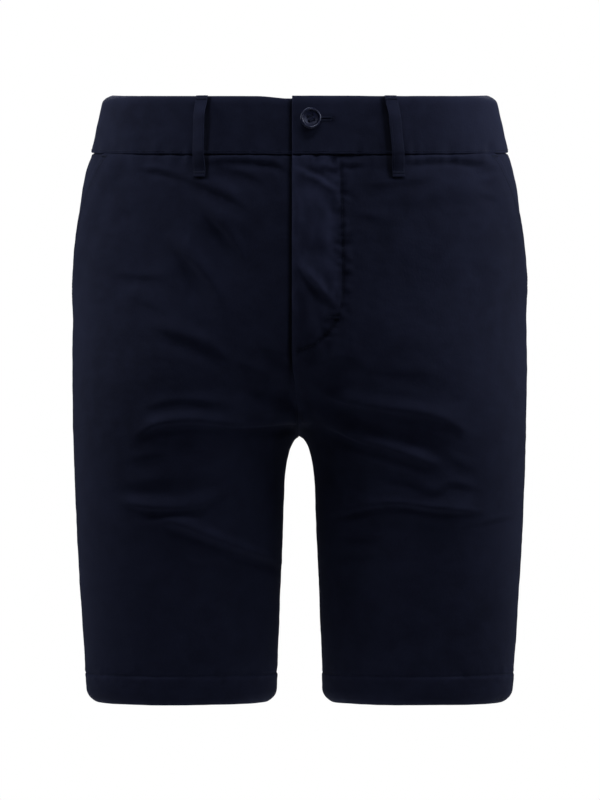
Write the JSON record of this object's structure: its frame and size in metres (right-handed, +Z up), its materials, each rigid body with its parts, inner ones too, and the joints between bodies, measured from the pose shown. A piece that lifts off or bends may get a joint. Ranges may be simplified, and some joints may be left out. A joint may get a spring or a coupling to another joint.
{
  "type": "bermuda shorts",
  "caption": "Knee-length tailored shorts in dark navy cotton twill, hollow and filled out as if worn, with waistband, belt loops, fly and slanted side pockets.",
  "frame": {"origin": "centre of the waist opening, half way down the waistband at the centre front", "axes": "+Z up out of the waist, -Y to the wearer's front, +X to the wearer's left"},
  "size_m": [0.3968, 0.2382, 0.531],
  "materials": {
    "twill": "dark navy cotton twill, matt",
    "button": "navy, soft gloss"
  },
  "bodies": {
    "root": {"front_left": "twill", "front_right": "twill", "back_left": "twill", "back_right": "twill", "pocket_facing_left": "twill", "pocket_facing_right": "twill", "waistband_left": "twill", "waistband_right": "twill", "belt_loop_front_right": "twill", "belt_loop_front_left": "twill", "belt_loop_side_right": "twill", "belt_loop_side_left": "twill", "belt_loop_back": "twill", "waist_button": "button"}
  },
  "joints": []
}
